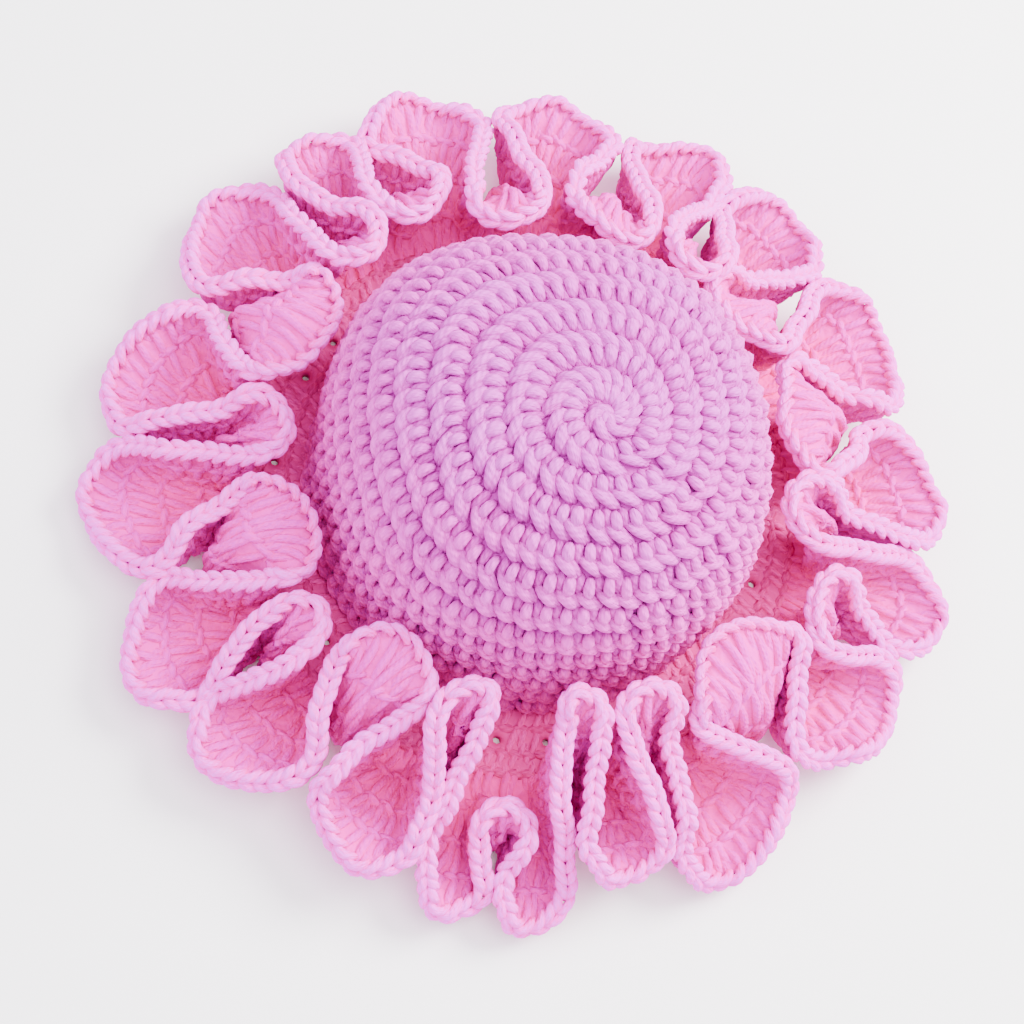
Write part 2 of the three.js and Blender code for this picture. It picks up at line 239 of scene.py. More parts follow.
class HatSizes(bpy.types.PropertyGroup):
    crown_radius: FloatProperty(
        name="Crown Radius", description="From the axis to the outside of the crown's foot",
        default=0.092, min=0.02, unit="LENGTH")
    crown_height: FloatProperty(
        name="Crown Height", description="From the floor to the middle of the crown's top",
        default=0.126, min=0.02, unit="LENGTH")
    brim_radius: FloatProperty(
        name="Brim Radius",
        description="From the axis to the brim's outer edge, where the ruffle starts",
        default=(BRIM_HIGH.x - BRIM_LOW.x) / 2, min=0.03, unit="LENGTH")
    brim_thickness: FloatProperty(
        name="Brim Thickness", description="The brim's yarn, one layer thick",
        default=BRIM_HIGH.z - BRIM_LOW.z, min=0.001, unit="LENGTH")
    eyelet_radius: FloatProperty(
        name="Eyelet Radius", description="Half the width of each hole in the brim",
        default=0.0018, min=0.0005, unit="LENGTH")
    eyelet_count: IntProperty(
        name="Eyelets", description="Holes in one round of the brim", default=32, min=3)
    ruffle_width: FloatProperty(
        name="Ruffle Width",
        description="From the brim's edge to the farthest fold, seen from above",
        default=0.062, min=0.01, unit="LENGTH")
    ruffle_height: FloatProperty(
        name="Ruffle Height",
        description="From the floor to the middle of the highest fold's edge",
        default=0.066, min=0.01, unit="LENGTH")
    edging_radius: FloatProperty(
        name="Edging Radius", description="Half the thickness of the plaited edge",
        default=0.0033, min=0.001, unit="LENGTH")
    loop_gap: FloatProperty(
        name="Loop Gap", description="Room left where the ruffle's edge passes close by itself",
        default=0.0035, min=0.0005, unit="LENGTH")
    seam_gap: FloatProperty(
        name="Seam Gap", description="Clearance between the solids of the brim and the ruffle",
        default=0.0003, min=0.0, unit="LENGTH")
    yarn_radius: FloatProperty(
        name="Yarn Radius", description="Half the thickness of the yarn where it isn't squeezed",
        default=0.0018, min=0.0005, unit="LENGTH")
    stitch_width: FloatProperty(
        name="Stitch Width", description="One stitch of the crown, along its round",
        default=0.008, min=0.002, unit="LENGTH")
    crown_rounds: IntProperty(
        name="Crown Rounds", description="Turns of the spiral from the crown's middle to the brim",
        default=13, min=3)
    edge_stitches: IntProperty(
        name="Edge Stitches per Fold",
        description="Stitches of the ruffle's free edge in one fold",
        default=35, min=6)


class HatColours(bpy.types.PropertyGroup):
    crown: FloatVectorProperty(
        name="Crown", description="Lavender pink of the crown's yarn where the light falls on it",
        subtype="COLOR", default=(0.67, 0.076, 0.60), min=0, max=1)
    # painted shade: the crown's colour deep between its stitches, where shade falls
    crown_deep: FloatVectorProperty(
        name="Crown Grooves", description="The crown's yarn deep between its stitches",
        subtype="COLOR", default=(0.42, 0.014, 0.33), min=0, max=1)
    crown_low: FloatVectorProperty(
        name="Crown Foot", description="The pinker yarn of the crown near the brim",
        subtype="COLOR", default=(0.92, 0.045, 0.54), min=0, max=1)
    brim: FloatVectorProperty(
        name="Brim",
        description="Strong pink of the brim's yarn, in the shade of the crown and folds",
        subtype="COLOR", default=(1.0, 0.045, 0.50), min=0, max=1)
    # painted shade: the brim's colour between its strands, darkest at the eyelets for the shadow
    # in the holes
    brim_deep: FloatVectorProperty(
        name="Brim Eyelets", description="Dark pink of the yarn inside the brim's eyelets",
        subtype="COLOR", default=(0.55, 0.004, 0.18), min=0, max=1)
    ruffle: FloatVectorProperty(
        name="Ruffle", description="Pale pink of the ruffle's yarn near its free edge",
        subtype="COLOR", default=(0.80, 0.021, 0.57), min=0, max=1)
    # painted shade and painted bounced light: the hot pink deep in the folds; the edging's too
    ruffle_deep: FloatVectorProperty(
        name="Ruffle Folds", description="Hot pink of the yarn deep in the folds",
        subtype="COLOR", default=(1.0, 0.008, 0.46), min=0, max=1)
    edging: FloatVectorProperty(
        name="Edging", description="The palest pink, of the plaited edge",
        subtype="COLOR", default=(0.95, 0.112, 0.88), min=0, max=1)
    floor: FloatVectorProperty(
        name="Floor", description="The plain pale floor",
        subtype="COLOR", default=(0.98, 0.98, 0.98), min=0, max=1)


def unit(vectors):
    return vectors / np.maximum(np.linalg.norm(vectors, axis=-1, keepdims=True), 1e-12)


def smoothstep(value, low, high):
    share = np.clip((value - low) / (high - low), 0, 1)
    return share * share * (3 - 2 * share)


def blend(first, second, share):
    return first + (second - first) * share


def radial(angle):
    return np.stack([np.cos(angle), np.sin(angle), np.zeros_like(angle)], axis=-1)


def hermite(start, leave, end, arrive, share):
    """A cubic from start to end, with the slopes leave and arrive."""
    square = share * share
    cube = square * share
    return (
        start * (2 * cube - 3 * square + 1)
        + leave * (cube - 2 * square + share)
        + end * (3 * square - 2 * cube)
        + arrive * (cube - square)
    )


class ClosedSpline:
    """A smooth closed curve through points. Its steps follow the square root of their spacing."""

    STEPS_PER_POINT = 20

    def __init__(self, points):
        self.points = np.array(points)
        self.places = np.linspace(0, 1, len(points) * self.STEPS_PER_POINT + 1)
        steps = np.linalg.norm(np.diff(self.at(self.places), axis=0), axis=-1)
        self.lengths = np.concatenate([[0], np.cumsum(steps)]) / steps.sum()

    def at(self, place):
        count = len(self.points)
        scaled = (place % 1.0) * count
        index = np.floor(scaled).astype(int)
        before, start, end, after = (self.points[(index + k) % count] for k in (-1, 0, 1, 2))
        spans = [
            (np.sum((b - a) ** 2, axis=-1) ** 0.25)[..., None]
            for a, b in ((before, start), (start, end), (end, after))
        ]
        chord = (end - start) / spans[1]
        leave = (start - before) / spans[0] - (end - before) / (spans[0] + spans[1]) + chord
        arrive = chord - (after - start) / (spans[1] + spans[2]) + (after - end) / spans[2]
        share = (scaled - index)[..., None]
        return hermite(start, leave * spans[1], end, arrive * spans[1], share)

    def along(self, place):
        step = 1e-4
        return unit(self.at(place + step) - self.at(place - step))

    def place_of(self, share):
        """The curve's own place at a share of its length."""
        turns = np.floor(share)
        return turns + np.interp(share - turns, self.lengths, self.places)


class Crown:
    """The middle of the crown's fabric, as a spiral of stitches round a pole beside its axis."""

    # the spiral's pole, and how far down and how evenly the rounds come back to the axis
    POLE = np.array([0.0118, -0.0034, 0.0])
    POLE_FADE = 0.7
    POLE_EASE = 1.5
    # the outline's rows from the top down to where it is widest
    WIDENING = 7

    def __init__(self, sizes, sunk):
        self.sizes = sizes
        rise = sizes.crown_height - sizes.brim_thickness
        rows = np.array(CROWN_OUTLINE[::-1])
        self.dome = rows * [sizes.crown_radius, rise] + [0, sizes.brim_thickness]
        self.sunk = sunk
        fine = self._smooth(self.dome, cuts=12)
        foot = [[sizes.crown_radius, 0]]
        self.line = np.concatenate([fine, foot])
        steps = np.linalg.norm(np.diff(self.line, axis=0), axis=-1)
        self.length = steps.sum()
        self.shares = np.concatenate([[0], np.cumsum(steps)]) / self.length

    def _smooth(self, points, cuts):
        ends = np.concatenate([[points[0] * [-1, 1]], points, [2 * points[-1] - points[-2]]])
        share = (np.arange(cuts) / cuts)[:, None]
        parts = []
        for before, start, end, after in zip(ends, ends[1:], ends[2:], ends[3:]):
            parts.append(hermite(start, (end - before) / 2, end, (after - start) / 2, share))
        return np.concatenate(parts + [points[-1:]])

    def radius(self, share):
        return np.interp(share, self.shares, self.line[:, 0])

    def _height(self, radius):
        rows = self.dome[:self.WIDENING]
        return np.interp(radius, rows[:, 0], rows[:, 1])

    def surface(self, share, angle):
        radius = self.radius(share)
        height = np.interp(share, self.shares, self.line[:, 1])
        fade = np.clip(1 - share / self.POLE_FADE, 0, 1)[..., None] ** self.POLE_EASE
        point = radial(angle) * radius[..., None] + self.POLE * fade
        away = np.hypot(point[..., 0], point[..., 1])
        height = height + self._height(away) - self._height(radius)
        return self._shape(point, height)

    def _shape(self, point, height):
        """Gives a point of the round crown the real one's waves, and the dents in its top."""
        tall = self.sizes.crown_height
        wide = self.sizes.crown_radius
        angle = np.arctan2(point[..., 1], point[..., 0])
        above = smoothstep(height, self.sizes.brim_thickness, tall * WAVES_FULL)
        grow = 1 + sum(
            wave.share * above * np.cos(wave.count * (angle - math.radians(wave.angle)))
            for wave in CROWN_WAVES
        )
        drop = 0
        for dent in CROWN_DENTS:
            centre = radial(np.array(math.radians(dent.angle))) * dent.place * wide
            away = np.linalg.norm(point - centre, axis=-1) / (dent.width * wide)
            drop = drop + dent.depth * tall * np.exp(-away * away)
        high = smoothstep(height, tall * DENTS_START, tall * DENTS_FULL)
        return AXIS + point * grow[..., None] + UP * (height - drop * high)[..., None]

    def frame(self, share, angle):
        """Points of the fabric's middle, with the directions along the round, down it and out."""
        step = 0.01
        here = self.surface(share, angle)
        ahead = self.surface(share, angle + step) - self.surface(share, angle - step)
        low = np.maximum(share - step, 0)
        down = self.surface(low + 2 * step, angle) - self.surface(low, angle)
        # the small share of up gives the pole a direction
        out = unit(np.cross(down, ahead) + 1e-6 * UP)
        return here - out * self.sunk, unit(ahead), unit(down), out


class Ruffle:
    """The middle of the ruffle's sheet: share goes round its free edge by length, and rise goes
    from its root at 0 to its free edge at 1."""

    def __init__(self, sizes):
        self.sizes = sizes
        self.root_radius = sizes.brim_radius + sizes.seam_gap
        self.tips = []
        for fold in FOLDS:
            self.tips.append((fold.crest, fold.reach, fold.height, CREST_ROUNDING))
            self.tips.append((fold.valley, fold.far, fold.low, VALLEY_ROUNDING))
        self.angles = np.array([tip[0] for tip in self.tips])
        points = []
        for n in range(len(self.tips)):
            angle, reach, height, _ = self.tip(n)
            tip = self.edge_point(angle, reach, height)
            points += [self.shoulder(n, -1), tip, self.shoulder(n, 1)]
        self.edge = ClosedSpline(points)

    def tip(self, n):
        turns, place = divmod(n, len(self.tips))
        angle, reach, height, rounding = self.tips[place]
        return angle + 360 * turns, reach, height, rounding

    def edge_point(self, angle, reach, height):
        radius = self.root_radius + reach * self.sizes.ruffle_width
        turn = math.radians(angle)
        level = height * self.sizes.ruffle_height
        return (radius * math.cos(turn), radius * math.sin(turn), level)

    def shoulder(self, n, way):
        """Where tip n's loop is widest towards the next tip one way round."""
        angle, reach, height, rounding = self.tip(n)
        next_angle, next_reach, next_height, _ = self.tip(n + way)
        width = self.sizes.ruffle_width
        half_gap = self.sizes.edging_radius + self.sizes.loop_gap / 2
        apart = math.radians(abs(next_angle - angle))
        half_width = apart * (self.root_radius + reach * width) - half_gap
        back = min(rounding * half_width / (abs(next_reach - reach) * width), LONGEST_END)
        wide = blend(reach, next_reach, back)
        clear = math.degrees(half_gap / (self.root_radius + wide * width))
        return self.edge_point(next_angle - way * clear, wide, blend(height, next_height, back))

    def root_angle(self, place):
        counted = place * len(self.tips) - 1 / POINTS_PER_TIP
        tip = np.floor(counted).astype(int)
        count = len(self.tips)
        first = self.angles[tip % count] + 360 * np.floor(tip / count)
        second = self.angles[(tip + 1) % count] + 360 * np.floor((tip + 1) / count)
        return np.radians(blend(first, second, counted - tip))

    def fold_of(self, place):
        """How flopped the fold at a place is, and 1 at its crest, -1 at its valley."""
        counted = place * len(FOLDS) - 0.5 / POINTS_PER_TIP
        over = np.array([fold.over for fold in FOLDS])[np.round(counted).astype(int) % len(FOLDS)]
        return over, np.cos(2 * math.pi * counted)

    def pull(self, place, name):
        over, swing = self.fold_of(place)
        crest = blend(getattr(STANDING, name), getattr(FLOPPED, name), over)
        tip = np.where(swing > 0, crest, getattr(VALLEY, name))
        pull = blend(getattr(SIDE, name), tip, swing * swing)
        return (self.sizes.ruffle_width * pull)[..., None]

    def surface(self, share, rise):
        place = self.edge.place_of(share)
        edge = self.edge.at(place)
        outward = radial(self.root_angle(place))
        root = outward * self.root_radius + UP * (self.sizes.brim_thickness / 2)
        leave = outward * self.pull(place, "root")
        arrive = radial(np.arctan2(edge[..., 1], edge[..., 0])) * self.pull(place, "out")
        arrive = arrive + UP * self.pull(place, "up")
        along = self.edge.along(place)
        arrive = arrive - along * (SQUARE * np.sum(arrive * along, axis=-1, keepdims=True))
        return AXIS + hermite(root, leave, edge, arrive, rise[..., None])

    def frame(self, share, rise):
        """Points of the sheet, with the directions along the row, to the free edge, and across. A
        rise above 1 goes straight on past the free edge."""
        step = 0.5 / (len(FOLDS) * self.sizes.edge_stitches)
        lift = 0.04
        rise = np.maximum(rise, 0)
        beyond = np.maximum(rise - 1, 0)[..., None] * self.sizes.ruffle_width
        rise = np.minimum(rise, 1)
        here = self.surface(share, rise)
        along = unit(self.surface(share + step, rise) - self.surface(share - step, rise))
        low = np.clip(rise - lift, 0, 1 - 2 * lift)
        up = self.surface(share, low + 2 * lift) - self.surface(share, low)
        up = unit(up - along * np.sum(up * along, axis=-1, keepdims=True))
        across = np.cross(up, along)
        loose = (rise * rise)[..., None]
        for ripple in RIPPLES:
            swing = np.sin(2 * math.pi * (ripple.waves * share + ripple.start))[..., None] * loose
            here = here + (across * ripple.aside + up * ripple.upward) * swing
        return here + up * beyond, along, up, across


class Strand:
    """A short tube as a pattern: stations along it, angles round it, faces and corner UVs."""

    def __init__(self, stations, sides):
        tube = bmesh.new()
        bmesh.ops.create_cone(tube, cap_ends=True, segments=sides, radius1=1, radius2=1, depth=1)
        long = [edge for edge in tube.edges if abs(edge.verts[0].co.z - edge.verts[1].co.z) > 0.5]
        bmesh.ops.subdivide_edges(tube, edges=long, cuts=stations - 2)
        tube.verts.ensure_lookup_table()
        places = np.array([vert.co for vert in tube.verts])
        self.station = np.round((places[:, 2] + 0.5) * (stations - 1)).astype(int)
        self.turn = np.arctan2(places[:, 1], places[:, 0])
        self.faces = [[vert.index for vert in face.verts] for face in tube.faces]
        self.around = np.concatenate([self._unwrap(face) for face in self.faces])
        self.corners = np.concatenate(self.faces)
        self.sizes = np.array([len(face) for face in self.faces])
        self.stations = stations
        tube.free()

    def _unwrap(self, face):
        around = (self.turn[face] / (2 * math.pi)) % 1.0
        return np.where(around < around.max() - 0.5, around + 1, around)

    def sweep(self, lines, thick, out):
        """The vertices of one tube along each line. lines is (count, stations, 3)."""
        ahead = unit(np.gradient(lines, axis=1))
        side = unit(np.cross(out, ahead))
        over = np.cross(ahead, side)
        cos = np.cos(self.turn)[:, None]
        sin = np.sin(self.turn)[:, None]
        ring = side[:, self.station] * cos + over[:, self.station] * sin
        return lines[:, self.station] + ring * thick[:, self.station, None]


class Yarn:
    """Collects tubes of yarn and makes one mesh of them."""

    # the yarn's length in one turn of its plies, and how much deeper the painted shade is on a
    # strand's flanks, where it meets its neighbours, than on its top, set about its middle
    LAY = 0.0105
    FLANK_SHADE = 0.32
    FLANK_MIDDLE = 0.4

    def __init__(self, stations, sides, seed):
        self.strand = Strand(stations, sides)
        self.random = np.random.default_rng(seed)
        self.points = []
        self.shades = []
        self.tints = []
        self.runs = []

    def add(self, lines, thick, out, shade):
        """One tube along each line. shade is the painted shade: 0 where the yarn is pale and 1
        where it is deep.
        """
        strand = self.strand
        thick, shade = (np.broadcast_to(value, lines.shape[:2]) for value in (thick, shade))
        count = len(lines)
        steps = np.linalg.norm(np.diff(lines, axis=1), axis=-1)
        run = np.concatenate([np.zeros((count, 1)), np.cumsum(steps, axis=1)], axis=1) / self.LAY
        run = run + self.random.random((count, 1))
        self.points.append(strand.sweep(lines, thick, out).reshape(-1, 3))
        # painted shade on the flanks, where a strand meets the strands beside it
        flank = self.FLANK_SHADE * (np.cos(strand.turn) ** 2 - self.FLANK_MIDDLE)
        self.shades.append((shade[:, strand.station] + flank).reshape(-1))
        self.tints.append(np.repeat(self.random.random(count), len(strand.station)))
        self.runs.append(run[:, strand.station])

    def make(self, name):
        strand = self.strand
        points = np.concatenate(self.points)
        points[:, 2] = np.maximum(points[:, 2], 0)
        runs = np.concatenate(self.runs)
        count = len(runs)
        first = np.arange(count)[:, None] * len(strand.station)
        mesh = bpy.data.meshes.new(name)
        mesh.vertices.add(len(points))
        mesh.vertices.foreach_set("co", points.astype(np.float32).ravel())
        mesh.loops.add(count * len(strand.corners))
        mesh.loops.foreach_set("vertex_index", (first + strand.corners).astype(np.int32).ravel())
        mesh.polygons.add(count * len(strand.faces))
        starts = np.concatenate([[0], np.cumsum(np.tile(strand.sizes, count))[:-1]])
        mesh.polygons.foreach_set("loop_start", starts.astype(np.int32))
        uvs = np.stack([runs[:, strand.corners], np.tile(strand.around, (count, 1))], axis=-1)
        mesh.uv_layers.new(name="Yarn").data.foreach_set("uv", uvs.astype(np.float32).ravel())
        attribute(mesh, "shade", np.concatenate(self.shades))
        attribute(mesh, "tint", np.concatenate(self.tints))
        mesh.update(calc_edges=True)
        mesh.validate()
        mesh.shade_smooth()
        return link(name, mesh)


def attribute(mesh, name, values):
    made = mesh.attributes.new(name, "FLOAT", "POINT")
    made.data.foreach_set("value", np.clip(values, 0, 1).astype(np.float32))


def link(name, data):
    made = bpy.data.objects.new(name, data)
    bpy.context.scene.collection.objects.link(made)
    return made


def link_shape(name, shape):
    """Makes an object of a bmesh, which is then freed."""
    mesh = bpy.data.meshes.new(name)
    shape.to_mesh(mesh)
    shape.free()
    return link(name, mesh)


def along_line(knots, stations):
    """The knots of a strand as smooth columns, with as many rows as the strand has stations."""
    table = np.array(knots)
    place = np.linspace(0, len(knots) - 1, stations)
    index = np.minimum(place.astype(int), len(knots) - 2)
    padded = np.concatenate([[2 * table[0] - table[1]], table, [2 * table[-1] - table[-2]]])
    before, start, end, after = (padded[index + k] for k in range(4))
    share = (place - index)[:, None]
    return hermite(start, (end - before) / 2, end, (after - start) / 2, share).T


class Value:
    """A number that varies over a surface, with Python's operators."""

    def __init__(self, shader, socket):
        self.shader = shader
        self.socket = socket

    def _math(self, operation, *operands):
        inputs = dict(enumerate(operands))
        return self.shader.node("ShaderNodeMath", {"operation": operation}, inputs, "Value")

    def __add__(self, other):
        return self._math("ADD", self, other)

    def __radd__(self, other):
        return self._math("ADD", other, self)

    def __sub__(self, other):
        return self._math("SUBTRACT", self, other)

    def __rsub__(self, other):
        return self._math("SUBTRACT", other, self)

    def __mul__(self, other):
        return self._math("MULTIPLY", self, other)

    def __rmul__(self, other):
        return self._math("MULTIPLY", other, self)

    def sine(self):
        return self._math("SINE", self)

    def clamped(self):
        made = self._math("MULTIPLY", self, 1.0)
        made.socket.node.use_clamp = True
        return made


class Shader:
    """A material and its nodes, made one by one."""

    def __init__(self, name, **constants):
        self.material = bpy.data.materials.new(name)
        self.material.use_nodes = True
        self.nodes = self.material.node_tree.nodes
        self.links = self.material.node_tree.links
        self.surface = self.nodes["Principled BSDF"]
        self.finish(**constants)

    def feed(self, socket, value):
        if isinstance(value, Value):
            self.links.new(value.socket, socket)
        else:
            socket.default_value = value

    def finish(self, **values):
        for name, value in values.items():
            self.feed(self.surface.inputs[name.replace("_", " ")], value)
        return self.material

    def node(self, kind, settings, inputs, output):
        made = self.nodes.new(kind)
        for name, value in settings.items():
            setattr(made, name, value)
        for name, value in inputs.items():
            self.feed(made.inputs[name], value)
        return Value(self, made.outputs[output])

    def attribute(self, name):
        return self.node("ShaderNodeAttribute", {"attribute_name": name}, {}, "Fac")

    def noise(self, vector, scale, dimensions="3D"):
        inputs = {"Vector": vector, "Scale": scale, "Detail": 1.0}
        return self.node("ShaderNodeTexNoise", {"noise_dimensions": dimensions}, inputs, "Fac")

    def coordinate(self, name):
        return self.node("ShaderNodeTexCoord", {}, {}, name)

    def parts(self, vector):
        made = self.node("ShaderNodeSeparateXYZ", {}, {0: vector}, 0)
        return [Value(self, output) for output in made.socket.node.outputs]

    def stretch(self, vector, times):
        inputs = {0: vector, 1: times}
        return self.node("ShaderNodeVectorMath", {"operation": "MULTIPLY"}, inputs, "Vector")

    def mix(self, first, second, share, mode="MIX"):
        settings = {"data_type": "RGBA", "blend_type": mode}
        return self.node("ShaderNodeMix", settings, {0: share, 6: first, 7: second}, 2)

    def bump(self, height, distance, strength=1.0):
        inputs = {"Height": height, "Distance": distance, "Strength": strength}
        return self.node("ShaderNodeBump", {}, inputs, "Normal")


def opaque(colour):
    return (*colour, 1.0)


def centred(pattern):
    return pattern - 0.5


def yarn_material(name, pale, deep, low=None, twist=0.35):
    """Soft plied yarn: twisted plies and loose fibres in relief, and painted shade, a deep colour
    between the stitches and in the grooves between the plies. A low colour comes in towards the
    floor. Twist says how far the plies stand out."""
    shader = Shader(name, Specular_IOR_Level=0.2)
    lay = shader.coordinate("UV")
    run, around, _ = shader.parts(lay)
    ply = ((run + around) * (2 * math.pi * PLIES)).sine() * 0.5 + 0.5
    fibres = shader.noise(shader.stretch(lay, FIBRES), scale=1.0, dimensions="2D")
    fuzz = shader.noise(shader.coordinate("Object"), scale=420.0)
    blotch = shader.noise(shader.coordinate("Object"), scale=38.0)
    # painted shade in the grooves between the plies, with random fibre, fuzz and blotch tone
    ply_shade_and_tone = (1 - ply) * PLY_GROOVE_SHADE + centred(fibres) * FIBRE_DEPTH
    ply_shade_and_tone = ply_shade_and_tone + centred(fuzz) * FUZZ_DEPTH + centred(blotch) * BLOTCH_DEPTH
    # deepness: the stitches' painted shade, from their shade attribute, with the above
    deepness = shader.attribute("shade") * SHADE_DEPTH + ply_shade_and_tone
    pale = opaque(pale)
    if low is not None:
        height = shader.parts(shader.coordinate("Object"))[2]
        share = LOW_START - height * LOW_FADE + centred(blotch) * LOW_BLOTCH
        pale = shader.mix(pale, opaque(low), share.clamped())
    colour = shader.mix(pale, opaque(deep), deepness.clamped())
    tint = shader.attribute("tint")
    warm = shader.mix(colour, WARM_TINT, WARM_SHARE * tint, "MULTIPLY")
    bump = shader.bump(ply * twist + fibres * FIBRE_RELIEF, distance=0.0006, strength=0.8)
    return shader.finish(Base_Color=warm, Roughness=fuzz * 0.2 + 0.68, Normal=bump)


def backing_material(name, pale, deep):
    """The loose inside of the fabric, seen between its stitches, coloured with painted shade from
    its shade attribute and a fine random mottle.
    """
    shader = Shader(name, Specular_IOR_Level=0.2)
    fine = shader.noise(shader.coordinate("Object"), scale=300.0)
    # painted shade from the attribute, with a fine random mottle
    deepness = shader.attribute("shade") + centred(fine) * 0.5
    colour = shader.mix(opaque(pale), opaque(deep), deepness.clamped())
    bump = shader.bump(fine, distance=0.0012)
    return shader.finish(Base_Color=colour, Roughness=fine * 0.2 + 0.75, Normal=bump)


def finish_piece(piece, material, slot, *nodes):
    piece.data.materials.append(material)
    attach(piece, "root")
    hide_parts(*nodes)


def add_backing(node, pale, deep, columns, rows, wall, place, pierce=None):
    """The thin sheet under a part's stitches: a grid closed round, whose corners go where place
    puts them, with a wall."""
    sheet = bmesh.new()
    bmesh.ops.create_grid(sheet, x_segments=columns, y_segments=rows, size=0.5)
    flat = np.array([vert.co for vert in sheet.verts])
    points, shade = place(flat[:, 0] + 0.5, flat[:, 1] + 0.5)
    points[:, 2] = np.maximum(points[:, 2], wall / 2)
    # the painted shade that place gives, read by the backing's material
    layer = sheet.verts.layers.float.new("shade")
    for vert, point, value in zip(sheet.verts, points, np.clip(shade, 0, 1)):
        vert.co = point
        vert[layer] = value
    bmesh.ops.remove_doubles(sheet, verts=sheet.verts, dist=1e-6)
    if pierce is not None:
        pierce(sheet)
    backing = link_shape(node + "_backing", sheet)
    backing.data.shade_smooth()
    solid = backing.modifiers.new("Wall", "SOLIDIFY")
    solid.thickness = wall
    solid.offset = 0
    material = backing_material(node + "_inside", pale, deep)
    finish_piece(backing, material, node + "_yarn", node)


def crown_cells(crown, rounds, width):
    """The spiral's stitches: where each starts round the pole, how wide it is, and its round."""
    cells = []
    for turn in range(rounds + 1):
        middle = crown.radius(min((turn + 0.5) / rounds, 1.0))
        count = max(6, round(2 * math.pi * middle / width))
        cells += [(n / count, 1 / count, turn + n / count - 1) for n in range(count)]
    return np.array(cells).T[..., None]


class HAT_OT_crown(bpy.types.Operator):
    """Work the crown in a spiral of stitches over a thin backing"""

    bl_idname = "hat.crown"
    bl_label = "Crown"

    # how uneven the stitches are: along the round, down it, outwards, and in thickness
    UNEVEN = (0.07, 0.035, 0.15, 0.07)
    # how deep the painted shade is, and how much less so as a strand stands out
    SHADE = 0.62
    SHADE_FALL = 0.5
    LAYERS = (
        ("crown_stitches", (CROWN_BEAD, CROWN_LEG)),
        ("crown_under", (CROWN_UNDER, CROWN_FILL)),
    )

    def execute(self, context):
        sizes = context.scene.hat_sizes
        colours = context.scene.hat_colours
        radius = sizes.yarn_radius
        crown = Crown(sizes, sunk=1.3 * radius)
        rounds = sizes.crown_rounds
        cells = crown_cells(crown, rounds, sizes.stitch_width)
        material = yarn_material(
            "crown_yarn", colours.crown, colours.crown_deep, colours.crown_low, twist=0.5)
        uneven = np.random.default_rng(11).normal(0, 1, (len(cells[0]), 4)) * self.UNEVEN
        for seed, (name, strands) in enumerate(self.LAYERS):
            yarn = Yarn(stations=7, sides=6, seed=seed)
            for knots in strands:
                self.work(yarn, knots, crown, cells, rounds, uneven)
            finish_piece(yarn.make(name), material, "crown_yarn", "crown")

        def place(around, down):
            here, _, _, normal = crown.frame(down, 2 * math.pi * around)
            # the backing, seen only between the stitches, takes the full painted shade
            return here - normal * (0.9 * radius), np.ones(len(around))

        add_backing("crown", colours.crown, colours.crown_deep, 144, 64, 0.0022, place)
        return {"FINISHED"}

    def work(self, yarn, knots, crown, cells, rounds, uneven):
        """One strand of every stitch."""
        starts, widths, turns = cells
        radius = crown.sizes.yarn_radius
        along, up, out, thick = along_line(knots, yarn.strand.stations)
        across = (along + uneven[:, :1]) * widths
        down = up + uneven[:, 1:2]
        angle = 2 * math.pi * (starts + across)
        share = np.clip((turns + down + across) / rounds, 0, 1)
        here, _, _, normal = crown.frame(share, angle)
        lift = (out + uneven[:, 2:3]) * radius
        size = thick * radius * (1 + uneven[:, 3:4])
        # painted shade, deeper where a strand sinks into the fabric
        shade = self.SHADE - self.SHADE_FALL * out
        yarn.add(here + normal * lift[..., None], size, normal, shade)


def post_lines(surface_frame, foot, top, low, high, radius, stations, phase):
    """Strands twisted round each other, from each stitch's foot to its top."""
    climb = np.linspace(POST_START, 1.0, stations)
    share = blend(foot[:, None], top[:, None], climb)
    rise = blend(low, high, climb)
    here, along, _, across = surface_frame(share, rise)
    swell = 1 - POST_THINNING * np.abs(2 * climb - 1) ** 3
    strands = []
    for strand in range(STRANDS_PER_POST):
        turn = phase[:, None] + 2 * math.pi * (strand / STRANDS_PER_POST + POST_TURNS * climb)
        aside = (np.cos(turn) * POST_ASIDE * radius * swell)[..., None]
        over = np.sin(turn) * POST_OVER * swell
        line = here + along * aside + across * (over * radius)[..., None]
        # painted shade, deepest where the strand lies level between the others
        strands.append((line, POST_SHADE - POST_SHADE_FALL * np.abs(over)))
    return strands, across, rise, swell


